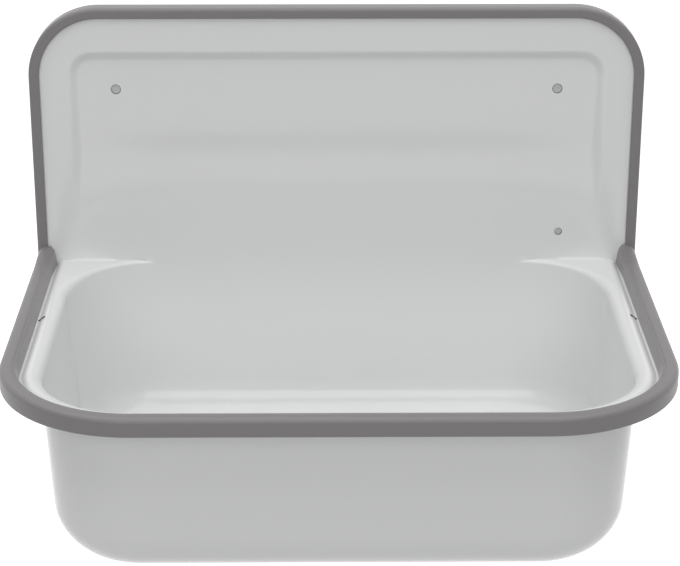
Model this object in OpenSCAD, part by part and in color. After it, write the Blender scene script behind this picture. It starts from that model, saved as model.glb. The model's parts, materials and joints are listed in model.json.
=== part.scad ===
// Wall-hung utility sink: one enamelled pressing with a bowl and a splashback,
// push-on edge trims and a strainer waste.
// All sizes in mm. The origin is midway between the two upper wall holes, at the
// back of the panel. +Z is up, +Y goes into the wall and the bowl's front faces -Y.

/* [Overall sizes] */
// width over the edge trims
overall_w = 510; // [480:1:560]
// distance from the wall to the front of the rim trim
overall_d = 348; // [335:1:400]
// height of the splashback above the top of the rim trim
splash_h = 213; // [195:1:260]
// depth of the bowl, from the top of the rim trim to its flat underside
bowl_h = 152.5; // [135:0.5:200]

/* [Enamelled pressing] */
// thickness of the enamelled steel sheet
sheet_t = 1.8; // [1.2:0.1:2.4]
// plan radius of the rim's front corners, over the trim
rim_r = 105.6; // [90:0.2:112]
// radius of the splashback's top corners, over the trim
splash_r = 59; // [48:0.5:75]
// distance from the outside of the rim trim to the bowl's inner wall
wall_in = 32; // [29:0.5:40]
// radius over which the ledge rolls into the bowl
roll_r = 8; // [5:0.5:9]
// draft of the bowl walls, in degrees
draft = 3.3; // [1:0.1:5]
// radius between the bowl walls and its floor
floor_r = 41; // [25:1:50]
// drop from the top of the rim trim to the crest of the ledge
crest_drop = 7.2; // [6:0.1:8]
// drop from the top of the rim trim to the flat strip that the trim grips
strip_drop = 10; // [9.4:0.1:10.6]
// width of the low strip on the rim, from the outside of the trim
strip_in = 16.5; // [15.5:0.1:18]
// distance from the wall to the front of the splashback's border
border_y = 13; // [12:0.1:13.8]
// distance from the wall to the front of the splashback's edge strip
edge_y = 8.2; // [7.4:0.1:9]
// width of the splashback's edge strip, from the outside of its trim
edge_in = 11.5; // [10.8:0.1:13]
// width of the rise from the edge strip to the border
rise_w = 8.5; // [6:0.1:10]

/* [Recessed panel] */
// width of the recessed panel
panel_w = 442; // [400:1:446]
// distance from the top of the splashback to the recessed panel
panel_drop = 38; // [34:0.5:46]
// depth of the recess at its top edge
panel_recess = 4; // [2:0.1:4.5]
// radius of the recess's top corners
panel_r = 19; // [12:0.5:26]
// width of the sloping step round the recess
panel_step = 5.5; // [3:0.1:8]
// height above the rim trim where the recess starts to fade out
panel_fade = 86; // [70:1:110]
// height above the rim trim where the recess has run out
panel_foot = 30; // [24:1:50]

/* [Holes] */
// spacing of the two upper wall holes
hole_spacing = 367; // [340:1:380]
// height of the upper wall holes above the top of the rim trim
hole_h = 143; // [120:1:150]
// diameter of the upper wall holes
hole_d = 8.5; // [6:0.1:10]
// sideways position of the lower wall hole
low_hole_x = 188.5; // [170:0.5:196]
// height of the lower wall hole above the top of the rim trim
low_hole_h = 18; // [12:0.5:30]
// diameter of the lower wall hole
low_hole_d = 6.5; // [4:0.1:8]
// distance from the wall to the slits in the side ledges
slit_y = 137; // [100:1:180]
// width of the slits
slit_w = 1.4; // [1:0.1:2.5]
// length of the slits
slit_l = 7.5; // [4:0.1:9]

/* [Edge trims] */
// height of the rim trim
rim_trim_h = 14.9; // [13.6:0.1:16]
// width of the rim trim's flat top
rim_trim_top = 11; // [9:0.1:12]
// width of the rim trim at its foot
rim_trim_w = 14.5; // [13.4:0.1:15]
// rounding of the rim trim's outer edge
rim_trim_r = 4; // [2:0.1:5]
// width of the splashback trim, seen from the front
splash_trim_w = 9.4; // [8.4:0.1:10.4]
// depth of the splashback trim, from the wall to its front
splash_trim_d = 14.6; // [14.2:0.1:16]
// rounding of the splashback trim's outer edge
splash_trim_r = 3.2; // [1.5:0.1:4]
// distance from the outside of a trim to the sheet's edge inside it
edge_cover = 3; // [2.6:0.1:4]
// gap between the sheet's edge and the bottom of a trim's slot
slot_gap = 0.2; // [0.1:0.05:0.4]
// height of the bulge where a rim trim end meets the splashback trim
end_bulge = 4.6; // [2:0.1:6]
// length of that bulge
bulge_l = 24; // [14:1:40]

/* [Waste] */
// distance from the wall to the centre of the waste
waste_y = 165; // [150:1:190]
// diameter of the pressed dish round the waste
dish_d = 92; // [84:1:100]
// depth of the dish below the floor
dish_h = 4; // [3.4:0.1:6]
// diameter of the sink's waste hole
waste_hole_d = 52; // [50:0.5:58]
// diameter of the strainer's flange
strainer_d = 70; // [66:0.5:74]
// thickness of the strainer's sheet
strainer_t = 1.2; // [1:0.1:1.6]
// diameter of the holes in the strainer
sieve_d = 5; // [3:0.1:6]
// depth of the strainer's cup
cup_h = 4; // [3:0.5:5]
// diameter of the strainer screw
screw_d = 6; // [5:0.5:8]
// length of the strainer screw below its head
screw_l = 31; // [29:1:40]
// thickness of the washer below the strainer
upper_seal_t = 2; // [1:0.1:3]
// thickness of the seal between the sink and the waste body
lower_seal_t = 3; // [2:0.1:4]
// outside diameter of the waste body's flange
body_flange_d = 78; // [72:1:84]
// outside diameter of the waste body's outlet thread
outlet_d = 47.8; // [40:0.1:50]
// length of the outlet below the waste body's funnel
outlet_l = 20; // [18:1:40]

/* [Hidden] */
enamel = [0.86, 0.87, 0.86];
trim_grey = [0.44, 0.42, 0.43];
eps = 0.01;

half_w = overall_w / 2;
// short level runs where swept sections meet flat sheet
level = 0.5;
// centres of the rim's front corners
xc = half_w - rim_r;
yf = -overall_d + rim_r;
// radius of the bowl's mouth at those centres, and centres of its back corners
mouth_q = rim_r - wall_in;
yb = -border_y - mouth_q;
roll_q = mouth_q + roll_r + level;
// centres of the splashback's top corners
xs = half_w - splash_r;
zs = splash_h - splash_r;
floor_z = -bowl_h + sheet_t;
border_in = edge_in + rise_w;

// Puts a module drawn from the wall and the rim trim's top into the part's frame.
module place() {
  translate([0, border_y - panel_recess - sheet_t, -hole_h]) children();
}

function arc(cx, cy, r, a0, a1, n) =
  [for (i = [0:n]) let(a = a0 + (a1 - a0) * i / n) [cx + r * cos(a), cy + r * sin(a)]];
function unit(v) = v / norm(v);
function left(v) = [-v[1], v[0]];
function seg_n(p, i) = left(unit(p[i + 1] - p[i]));
// moves a line of points sideways by d, keeping its corners mitred
function shift(p, d) = let(m = len(p) - 1)
  [for (i = [0:m]) let(a = seg_n(p, max(i - 1, 0)), b = seg_n(p, min(i, m - 1)), s = a + b)
    p[i] + s * (2 * d / (s * s))];
function back(p) = [for (i = [len(p) - 1:-1:0]) p[i]];
function tail(p) = [for (i = [1:len(p) - 1]) p[i]];
// a curve from [x0, y0] that climbs by dy over dx and ends in a short level run
function climb(x0, y0, dx, dy, n) = let(w = dx - level, a = 2 * atan(dy / w), r = w / sin(a))
  concat([for (i = [0:n]) let(b = a * (1 - i / n)) [x0 + w - r * sin(b), y0 + dy - r + r * cos(b)]],
    [[x0 + dx, y0 + dy]]);

// Sheet surface on the rim, outside to inside, as [distance in, height].
rim_line = concat([[edge_cover, -strip_drop]],
  climb(strip_in, -strip_drop, wall_in - roll_r - level - strip_in, strip_drop - crest_drop, 5));
// The same as radii from the corner centres.
rim_face = [for (p = rim_line) [rim_r - p[0], p[1]]];
// Bowl surface from the start of the roll to the floor.
wall_a = [mouth_q + roll_r - roll_r * cos(draft), -crest_drop - roll_r + roll_r * sin(draft)];
fill_h = floor_r * (1 - sin(draft));
wall_run = (wall_a[1] - floor_z - fill_h) / cos(draft);
wall_b = wall_a - wall_run * [sin(draft), cos(draft)];
fill_c = wall_b + floor_r * [-cos(draft), sin(draft)];
bowl_face = concat([[roll_q, -crest_drop]],
  arc(mouth_q + roll_r, -crest_drop - roll_r, roll_r, 90, 180 - draft, 9),
  arc(fill_c[0], fill_c[1], floor_r, -draft, -90, 12), [[0, floor_z]]);
// The same surfaces at the back of the sheet.
rim_back = shift(rim_face, sheet_t);
bowl_back = shift(bowl_face, sheet_t);
// The whole section, from the strip in the trim to the floor.
full_face = concat(rim_face, tail(bowl_face));
full_back = concat(rim_back, tail(bowl_back));

// Splashback edge surface, outside to inside, as [distance in, distance from the wall].
edge_line = concat([[edge_cover, edge_y]],
  climb(edge_in, edge_y, rise_w, border_y - edge_y, 6));
edge_face = [for (p = edge_line) [splash_r - p[0], -p[1]]];
edge_back = shift(edge_face, -sheet_t);

// Carries a section round the left, front and right of the rim.
// The section is drawn as [radius from the corner centre, height].
module round_rim(y_end) {
  for (m = [0, 1]) mirror([m, 0, 0]) {
    translate([xc, y_end, 0]) rotate([90, 0, 0]) linear_extrude(y_end - yf) children();
    translate([xc, yf, 0]) rotate([0, 0, -90]) rotate_extrude(angle = 90, $fn = 120) children();
  }
  translate([xc, yf, 0]) rotate([0, 0, -90]) rotate([90, 0, 0]) linear_extrude(2 * xc) children();
}

// Carries a section round the bowl's back, between the two side walls.
module round_back() {
  translate([-xc, yb, 0]) rotate([0, 0, 90]) rotate([90, 0, 0]) linear_extrude(2 * xc) children();
  for (m = [0, 1]) mirror([m, 0, 0])
    translate([xc, yb, 0]) rotate_extrude(angle = 90, $fn = 120) children();
}

// Carries a section up one side of the splashback, across and down the other.
// The section is drawn as [radius from the corner centre, Y].
module round_splash(z_low) {
  for (m = [0, 1]) mirror([m, 0, 0]) {
    translate([xs, 0, z_low]) linear_extrude(zs - z_low) children();
    translate([xs, 0, zs]) rotate([-90, 0, 0]) rotate([0, 0, -90])
      rotate_extrude(angle = 90, $fn = 120) children();
  }
  translate([xs, 0, zs]) rotate([0, -90, 0]) linear_extrude(2 * xs) children();
}

// Everything behind the splashback's sheet, at the height of the ledge.
module behind_splash() {
  for (m = [0, 1]) mirror([m, 0, 0]) translate([0, 0, -40]) linear_extrude(60)
    polygon(concat([[0, -border_y + sheet_t]],
      [for (i = [len(edge_back) - 1:-1:0]) edge_back[i] + [xs, 0]],
      [[half_w + 20, edge_back[0][1]], [half_w + 20, 30], [0, 30]]));
}

// Everything below the ledge's sheet, beside the bowl.
module below_ledge() {
  for (m = [0, 1]) mirror([m, 0, 0]) translate([xc, 20, 0]) rotate([90, 0, 0]) linear_extrude(60)
    polygon(concat([[half_w + 20 - xc, -60], [half_w + 20 - xc, rim_back[0][1]]], rim_back,
      [[0, -crest_drop - sheet_t], [0, -60]]));
}

// The solid inside the bowl's outer surface, up to the ledge.
module bowl_plug() {
  section = concat(bowl_back, [[0, -crest_drop]], [[bowl_back[0][0], -crest_drop]]);
  round_back() polygon(section);
}

// The recess's shape, set back by d.
module recess(d) {
  w0 = panel_w / 2;
  w1 = w0 - panel_step;
  z1 = splash_h - panel_drop;
  r1 = panel_r - panel_step * 0.6;
  lip = 0.5;
  translate([0, d, 0]) hull() {
    for (m = [-1, 1]) {
      translate([m * (w0 - panel_r), -border_y - eps, z1 - panel_r]) rotate([90, 0, 0])
        cylinder(h = lip, r = panel_r, $fn = 40);
      translate([m * (w1 - r1), -border_y + panel_recess, z1 - panel_step - r1]) rotate([90, 0, 0])
        cylinder(h = lip, r = r1, $fn = 40);
    }
    translate([-w1, -border_y + panel_recess - lip, panel_fade]) cube([2 * w1, lip, lip]);
    translate([-w0, -border_y - eps - lip, panel_foot]) cube([2 * w0, lip, lip]);
  }
}

module border_plate() {
  r = splash_r - border_in;
  translate([0, -border_y + sheet_t, 0]) rotate([90, 0, 0]) linear_extrude(sheet_t) {
    translate([-xs - r, -crest_drop - sheet_t]) square([2 * (xs + r), zs + crest_drop + sheet_t]);
    translate([-xs, zs - 1]) square([2 * xs, r + 1]);
    for (m = [-1, 1]) translate([m * xs, zs]) circle(r = r, $fn = 120);
  }
}

module floor_dish() {
  r = dish_d / 2;
  z1 = floor_z - dish_h;
  translate([0, -waste_y, 0]) rotate_extrude($fn = 120)
    polygon([[r, floor_z], [r - 7, z1], [waste_hole_d / 2, z1], [waste_hole_d / 2, z1 - sheet_t],
      [r - 6, z1 - sheet_t], [r, floor_z - sheet_t - 0.6], [r + 2, floor_z - sheet_t],
      [r + 2, floor_z]]);
}

module sink_pressing() {
  color(enamel) place() difference() {
    union() {
      difference() {
        union() {
          // rim, ledge and bowl round the front and the sides
          round_rim(yb) polygon(concat(full_face, back(full_back)));
          // bowl round the back
          round_back() polygon(concat(bowl_face, back(bowl_back)));
          // floor between the four corner centres
          translate([-xc, yf, floor_z - sheet_t]) cube([2 * xc, yb - yf, sheet_t]);
          // ledge at the back corners
          for (m = [0, 1]) mirror([m, 0, 0]) {
            difference() {
              translate([xc, yb, -crest_drop - sheet_t]) cube([roll_q, -yb, sheet_t]);
              translate([xc, yb, -crest_drop - sheet_t - 1]) cylinder(h = 10, r = roll_q, $fn = 120);
            }
            translate([xc, 0, 0]) rotate([90, 0, 0]) linear_extrude(-yb)
              polygon(concat(rim_face, back(rim_back)));
          }
        }
        behind_splash();
        // opening for the dish
        translate([0, -waste_y, floor_z - 10]) cylinder(h = 20, r = dish_d / 2 + 2, $fn = 120);
      }
      floor_dish();
      // splashback edge, rise and border
      difference() {
        union() {
          round_splash(-strip_drop - sheet_t) polygon(concat(edge_face, back(edge_back)));
          border_plate();
        }
        below_ledge();
      }
      // panel's recess, seen from behind
      difference() {
        recess(sheet_t);
        translate([-half_w, -border_y - 20, -5]) cube([overall_w, 20, splash_h]);
      }
      // back wall's top edge, flush with the border
      intersection() {
        translate([-xc - roll_q, -border_y, -crest_drop - roll_r]) cube([2 * (xc + roll_q), sheet_t, roll_r]);
        bowl_plug();
      }
    }
    recess(0);
    for (m = [-1, 1]) {
      translate([m * hole_spacing / 2, 5, hole_h]) rotate([90, 0, 0])
        cylinder(h = 30, r = hole_d / 2, $fn = 48);
      translate([m * (half_w - strip_in - slit_l / 2 + 1.5), -slit_y, -strip_drop])
        cube([slit_l, slit_w, 12], center = true);
    }
    translate([low_hole_x, 5, low_hole_h]) rotate([90, 0, 0])
      cylinder(h = 30, r = low_hole_d / 2, $fn = 48);
  }
}

// Rim trim section, as radii from the corner centre, without its slot.
module rim_trim_section() {
  g = rim_trim_top;
  p = concat([[1.2, -rim_trim_h]], [[0, -rim_trim_h + 1.2]],
    arc(rim_trim_r, -rim_trim_r, rim_trim_r, 180, 90, 6),
    [[g - 1.6, 0], [g - 0.9, -0.35], [g - 0.5, -0.9], [g, -0.75], [g + 0.5, -0.9],
     [g + 1.1, -1.6], [rim_trim_w - 1, -strip_drop + 2.4], [rim_trim_w, -strip_drop],
     [edge_cover - slot_gap, -strip_drop], [edge_cover - slot_gap, -strip_drop - sheet_t],
     [rim_trim_w - 4, -strip_drop - sheet_t], [rim_trim_w - 4.8, -rim_trim_h]]);
  polygon([for (q = p) [rim_r - q[0], q[1]]]);
}

module rim_trim() {
  slot_x = half_w - edge_cover + slot_gap;
  bulge_r = 4 + end_bulge;
  color(trim_grey) place() difference() {
    union() {
      round_rim(-splash_trim_d) rim_trim_section();
      // bulging ends against the splashback
      for (m = [0, 1]) mirror([m, 0, 0]) difference() {
        union() {
          translate([half_w - bulge_r - 0.4, -splash_trim_d, -4]) rotate([90, 0, 0])
            cylinder(h = bulge_l, r1 = bulge_r, r2 = 3.6, $fn = 64);
          translate([half_w - rim_trim_w, -splash_trim_d - 1, -strip_drop])
            cube([rim_trim_w - splash_trim_w, 4, strip_drop - 1]);
        }
        translate([0, -80, -60]) cube([slot_x, 80, 60 - strip_drop]);
        translate([0, -80, -60]) cube([half_w + 20, 80, 60 - strip_drop - sheet_t]);
      }
    }
    for (m = [0, 1]) mirror([m, 0, 0]) {
      // room for the splashback's sheet
      translate([0, 0, -30]) linear_extrude(60)
        polygon(concat([[0, -border_y]], [for (q = back(edge_face)) q + [xs, 0]],
          [[half_w - edge_cover, 10], [0, 10]]));
      // room for the ledge's rise
      translate([xc, 0, 0]) rotate([90, 0, 0]) linear_extrude(60)
        polygon(concat([[rim_r - rim_trim_w - 0.2, -strip_drop]], tail(rim_face),
          [[0, -crest_drop], [0, -30], [rim_r - rim_trim_w - 0.2, -30]]));
    }
  }
}

// Splashback trim section, as radii from the corner centre, with its slot.
module splash_trim_section() {
  w = splash_trim_w;
  d = splash_trim_d;
  r = splash_trim_r;
  p = concat([[0.8, 0]], [[0, 0.8]], arc(r, d - r, r, 180, 90, 6), arc(w - 1.6, d - 1.6, 1.6, 90, 0, 4),
    [[w, edge_y], [edge_cover - slot_gap, edge_y], [edge_cover - slot_gap, edge_y - sheet_t],
     [w, edge_y - sheet_t], [w, 0.8], [w - 0.8, 0]]);
  polygon([for (q = p) [splash_r - q[0], -q[1]]]);
}

module splashback_trim() {
  color(trim_grey) place() difference() {
    round_splash(-rim_trim_h) splash_trim_section();
    // room for the back ends of the rim's strip
    for (m = [0, 1]) mirror([m, 0, 0])
      translate([half_w - splash_trim_w - 5, -splash_trim_d - 1, -strip_drop - sheet_t])
        cube([splash_trim_w + 5 - edge_cover + slot_gap, splash_trim_d + 1 - edge_y + sheet_t, sheet_t]);
  }
}

// Heights of the waste's pieces, from the dish down.
dish_z = floor_z - dish_h;
seal_top = dish_z + upper_seal_t;
body_z = dish_z - sheet_t - lower_seal_t;

// Moves the waste's pieces, drawn on the Z axis, to their place.
module at_waste() {
  place() translate([0, -waste_y, 0]) children();
}

// The screw's head sits in the bottom of the strainer's cup.
head_z = seal_top - cup_h + strainer_t;

module strainer() {
  r = strainer_d / 2;
  z = seal_top;
  h = strainer_t;
  c = waste_hole_d / 2 - 2;
  color([0.75, 0.76, 0.77]) at_waste() difference() {
    rotate_extrude($fn = 96)
      polygon([[0, z - cup_h], [c - 5, z - cup_h], [c, z], [r, z], [r, z + 0.4], [r - 2, z + h],
        [c - 0.6, z + h], [c - 5.4, z - cup_h + h], [0, z - cup_h + h]]);
    translate([0, 0, z - 20]) cylinder(h = 40, r = screw_d / 2 + 0.2, $fn = 48);
    for (a = [0:45:315]) rotate([0, 0, a]) translate([9.6, 0, z - 20])
      cylinder(h = 40, r = sieve_d / 2, $fn = 32);
    for (a = [15:30:345]) rotate([0, 0, a]) translate([15.6, 0, z - 20])
      cylinder(h = 40, r = sieve_d / 2, $fn = 32);
  }
}

module strainer_screw() {
  z = head_z;
  r = screw_d / 2;
  color([0.72, 0.73, 0.74]) at_waste() difference() {
    union() {
      rotate_extrude($fn = 64)
        polygon([[0, z], [r + 3.4, z], [r + 3.4, z + 1], [r + 2.6, z + 2.2], [r + 0.4, z + 2.9], [0, z + 3]]);
      translate([0, 0, z - screw_l]) cylinder(h = screw_l + 1, r = r, $fn = 48);
    }
    translate([-12, -0.8, z + 1.7]) cube([24, 1.6, 3]);
  }
}

module strainer_seal() {
  color([0.12, 0.12, 0.12]) at_waste() difference() {
    translate([0, 0, dish_z]) cylinder(h = upper_seal_t, r = strainer_d / 2 - 1.5, $fn = 96);
    translate([0, 0, dish_z - 1]) cylinder(h = 6, r = waste_hole_d / 2 - 1, $fn = 96);
  }
}

module waste_seal() {
  color([0.12, 0.12, 0.12]) at_waste() difference() {
    translate([0, 0, body_z]) cylinder(h = lower_seal_t, r = body_flange_d / 2 - 1, $fn = 96);
    translate([0, 0, body_z - 1]) cylinder(h = 8, r = waste_hole_d / 2 + 0.5, $fn = 96);
  }
}

// Height of the waste body's funnel, from its flange to the outlet.
funnel_h = 22;
insert_r = screw_d / 2 + 1.6;

module waste_body() {
  rf = body_flange_d / 2;
  ro = outlet_d / 2;
  ri = ro - 3.4;
  rh = waste_hole_d / 2 + 0.5;
  z = body_z;
  z1 = z - funnel_h;
  z2 = z1 - outlet_l;
  color([0.93, 0.93, 0.92]) at_waste() difference() {
    union() {
      rotate_extrude($fn = 96)
        polygon([[rh, z], [rf, z], [rf, z - 4], [rh + 4.5, z - 6], [rh + 2, z - 17], [ro, z1 + 2],
          [ro, z2 + 1], [ro - 1, z2], [ri, z2], [ri, z1], [rh - 1.5, z - 16]]);
      // spider that holds the screw's insert
      for (a = [45:90:315]) rotate([0, 0, a]) translate([5, -1.5, z - funnel_h]) cube([ri - 4, 3, 12]);
      translate([0, 0, z - funnel_h - 2]) cylinder(h = 14, r = insert_r + 2.4, $fn = 64);
    }
    translate([0, 0, z - 40]) cylinder(h = 50, r = insert_r, $fn = 48);
    // thread rings
    for (i = [0:6]) translate([0, 0, z1 - 4 - i * 2.3]) difference() {
      cylinder(h = 0.9, r = ro + 1, $fn = 96);
      cylinder(h = 0.9, r = ro - 0.9, $fn = 96);
    }
  }
}

module waste_insert() {
  z = body_z - funnel_h;
  color([0.72, 0.6, 0.32]) at_waste() difference() {
    union() {
      translate([0, 0, z - 2]) cylinder(h = 14, r = insert_r, $fn = 48);
      translate([0, 0, z + 12]) cylinder(h = 1.5, r = insert_r + 1.6, $fn = 48);
    }
    translate([0, 0, z - 20]) cylinder(h = 60, r = screw_d / 2, $fn = 48);
  }
}

sink_pressing();
splashback_trim();
rim_trim();
strainer();
strainer_screw();
strainer_seal();
waste_seal();
waste_body();
waste_insert();
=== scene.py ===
"""Looks of the wall-hung utility sink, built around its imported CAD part."""

import json
import math

import bmesh
import bpy
import numpy as np
from mathutils import Matrix, Vector
from mathutils.geometry import delaunay_2d_cdt
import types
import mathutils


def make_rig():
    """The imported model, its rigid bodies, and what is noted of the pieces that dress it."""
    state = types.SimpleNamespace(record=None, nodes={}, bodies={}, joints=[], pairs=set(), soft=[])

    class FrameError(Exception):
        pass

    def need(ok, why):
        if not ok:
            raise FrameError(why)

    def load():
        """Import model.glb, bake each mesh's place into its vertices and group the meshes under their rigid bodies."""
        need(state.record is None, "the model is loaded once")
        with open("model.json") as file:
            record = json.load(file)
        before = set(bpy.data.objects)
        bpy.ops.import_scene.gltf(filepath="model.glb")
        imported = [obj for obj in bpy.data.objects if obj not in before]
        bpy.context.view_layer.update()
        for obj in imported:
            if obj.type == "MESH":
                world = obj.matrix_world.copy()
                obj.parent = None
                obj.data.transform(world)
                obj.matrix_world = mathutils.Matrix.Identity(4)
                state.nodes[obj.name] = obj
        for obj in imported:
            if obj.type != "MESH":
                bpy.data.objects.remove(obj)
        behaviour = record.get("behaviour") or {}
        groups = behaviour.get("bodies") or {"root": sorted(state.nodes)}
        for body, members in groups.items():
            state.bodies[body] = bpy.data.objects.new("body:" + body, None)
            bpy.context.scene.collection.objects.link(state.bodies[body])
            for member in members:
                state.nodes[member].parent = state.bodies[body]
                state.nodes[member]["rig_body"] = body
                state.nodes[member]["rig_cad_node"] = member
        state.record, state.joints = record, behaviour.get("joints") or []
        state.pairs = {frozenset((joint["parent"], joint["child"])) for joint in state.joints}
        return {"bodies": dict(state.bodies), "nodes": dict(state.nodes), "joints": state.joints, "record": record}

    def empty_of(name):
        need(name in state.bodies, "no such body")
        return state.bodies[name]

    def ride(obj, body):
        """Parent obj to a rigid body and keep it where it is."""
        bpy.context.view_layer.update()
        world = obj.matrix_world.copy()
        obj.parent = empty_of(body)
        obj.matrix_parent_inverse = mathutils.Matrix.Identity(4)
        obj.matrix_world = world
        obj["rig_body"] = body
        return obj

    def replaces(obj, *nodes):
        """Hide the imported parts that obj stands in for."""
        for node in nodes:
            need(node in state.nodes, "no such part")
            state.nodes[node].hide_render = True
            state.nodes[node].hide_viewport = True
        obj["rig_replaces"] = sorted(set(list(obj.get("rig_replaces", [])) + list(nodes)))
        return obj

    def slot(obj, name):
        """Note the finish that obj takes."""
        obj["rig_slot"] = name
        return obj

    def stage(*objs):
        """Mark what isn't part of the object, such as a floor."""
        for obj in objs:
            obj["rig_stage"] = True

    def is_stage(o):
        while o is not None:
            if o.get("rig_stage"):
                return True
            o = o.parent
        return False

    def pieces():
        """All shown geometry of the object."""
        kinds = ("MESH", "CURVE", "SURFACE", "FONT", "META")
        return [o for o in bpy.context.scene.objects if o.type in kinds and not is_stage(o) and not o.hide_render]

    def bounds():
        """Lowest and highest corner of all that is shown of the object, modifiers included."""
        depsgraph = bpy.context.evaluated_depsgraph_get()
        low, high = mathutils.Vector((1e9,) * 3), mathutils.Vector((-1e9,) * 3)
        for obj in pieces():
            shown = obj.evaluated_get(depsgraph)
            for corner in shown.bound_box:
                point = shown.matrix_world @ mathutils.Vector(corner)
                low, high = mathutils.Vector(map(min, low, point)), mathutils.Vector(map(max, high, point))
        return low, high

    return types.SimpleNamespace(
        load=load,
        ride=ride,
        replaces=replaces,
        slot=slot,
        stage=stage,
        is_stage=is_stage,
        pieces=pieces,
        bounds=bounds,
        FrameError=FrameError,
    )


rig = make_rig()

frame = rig.load()
lo0, hi0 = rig.bounds()
scene = bpy.context.scene

# Camera, from the photograph's perspective, in metres and radians
CAM_POS = (-0.0121, -1.6838, 0.4891)
CAM_PITCH = -0.37518
CAM_YAW = 0.0088
CAM_ROLL = 0.0005
FOCAL_PX = 2098.5
PHOTO_W_PX = 680
SENSOR_MM = 36.0
NEAR_CLIP = 0.05
FAR_CLIP = 50

# Overall sizes in mm. The wall is at Y 0 and the rim trim's top at Z 0, as in the CAD source
MM = 0.001
PLACE = np.array((0.0, 7.2, -143.0))  # from that drawing to the part's frame
OVERALL_W = 510.0  # over the edge trims
OVERALL_D = 348.0  # from the wall to the rim trim's front
SPLASH_H = 213.0  # splashback above the rim trim
BOWL_H = 152.5  # from the rim trim's top to the bowl's underside

# Sheet and bowl
SHEET_T = 1.8
RIM_R = 105.6  # the rim's front corners in plan, over the trim
WALL_IN = 32.0  # from the outside of the rim trim to the bowl's wall
ROLL_R = 8.0  # from the ledge into the bowl
REAR_ROLL_R = 3.5  # the same at the bowl's rear
REAR_ROLL_TURN = 50.0  # degrees round the rear corner over which it tightens
DRAFT = math.radians(3.3)
FLOOR_R = 41.0  # between the bowl's walls and its floor
CREST_DROP = 7.2  # from the rim trim's top to the ledge
STRIP_DROP = 11.0  # from the rim trim's top to the low strip beside it
STRIP_IN = 16.5  # from the outside of the rim trim to that strip's end
LEVEL = 0.5  # level run on both sides of the roll's edge on the ledge

# Splashback
SPLASH_R = 59.0  # top corners, over the trim
PANEL_W = 442.0
PANEL_DROP = 38.0  # from the splashback's top to the recessed panel
PANEL_RECESS = 4.0
PANEL_R = 19.0
PANEL_STEP = 5.5  # width of the sloping step round the panel
PANEL_FADE = 86.0  # height at which the recess starts to run out
PANEL_FOOT = 30.0  # height at which it has run out
FOLD_R = 2.2  # fillet where the rear ledges meet the splashback
FOLD_INNER_FADE = 10.0  # lengths over which that fillet comes in at its ends
FOLD_OUTER_FADE = 12.0
WALL_HOLES = ((-183.5, 143.0, 4.25), (183.5, 143.0, 4.25), (188.5, 18.0, 3.25))  # x, z, radius

# The splashback's edge: distances in from the outside of its trim, then distances from the wall
EDGE_RISE_START = 4.0
EDGE_RISE_END = 8.0
EDGE_SLOPE_END = 18.0
EDGE_Y = 8.2  # up to the start of the rise
EDGE_TOP_Y = 12.0  # at the end of the rise
BORDER_Y = 13.0  # from the end of the slope on

# Slits in the side ledges
SLIT_Y = 137.0
SLIT_W = 1.6
SLIT_OUT = 15.0  # distances in from the outside of the rim trim to the slit's ends
SLIT_IN = 21.0
SLIT_EASE = 3.0  # length of sheet that is bent in front of the slit
SLIT_DIP = 0.9  # by which its front edge is pushed down

# The tongue turned down at the rear of each slit
TONGUE_DROP = 3.6
TONGUE_PROUD = 0.12  # by which it stands into the slit
TONGUE_BACK = 1.4  # how far it reaches behind the slit's edge
TONGUE_FRONT_TOP = 0.2  # its top below the ledge's face, at its front and its back
TONGUE_BACK_TOP = 1.0
TONGUE_PAST_OUT = 0.8  # by which it is longer than the slit
TONGUE_PAST_IN = 0.4

# Painted shade on the cut edge of each wall hole: a dark ring
SHADE_RING_IN = 0.5  # how far it shows into the hole
SHADE_RING_FRONT = 0.1  # depths behind the sheet's face: where it starts on the cut edge,
SHADE_RING_INNER_FRONT = 0.35  # where it starts inside the hole
SHADE_RING_REAR = SHEET_T - 0.15  # and where it ends

# Waste hole and its dish in the floor
WASTE_Y = 165.0
WASTE_R = 26.0
DISH_R = 46.0
DISH_STEP = 7.0
DISH_H = 4.0

# Edge trims
RIM_TRIM_H = 14.9
RIM_TRIM_TOP = 11.0  # width of its flat top
RIM_TRIM_W = 14.5  # width at its foot
RIM_TRIM_R = 4.0
RIM_TRIM_HEEL_R = 1.6
SPLASH_TRIM_W = 8.8
SPLASH_TRIM_D = 14.9
SPLASH_TRIM_R = 2.6
SPLASH_LIP_R = 0.8
SPLASH_HEEL_R = 1.0
SPLASH_HEEL_BEVEL = 0.8
EDGE_COVER = 3.0  # from the outside of a trim to the sheet's edge inside it
SLOT_GAP = 0.2

# Swollen rear ends of the rim trim
END_BULGE = 6.0  # upwards
END_BULGE_L = 30.0  # length over which they swell
END_SPREAD = 1.6  # inwards
BULGE_FOOT = 0.2  # height above the strip from which they swell
BULGE_MIDDLE = 7.6  # distance in from the outside at which they are highest
BULGE_HALF_W = 8.6
BULGE_POWER = 0.8
GROOVE_START = 9.0  # distances in between which the groove and bead are filled up
GROOVE_END = 12.6
GROOVE_FILL_Z = -0.1  # height of that filling at its start, and its fall over its width
GROOVE_FILL_FALL = 1.9
GROOVE_FILL_W = 3.5

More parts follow.
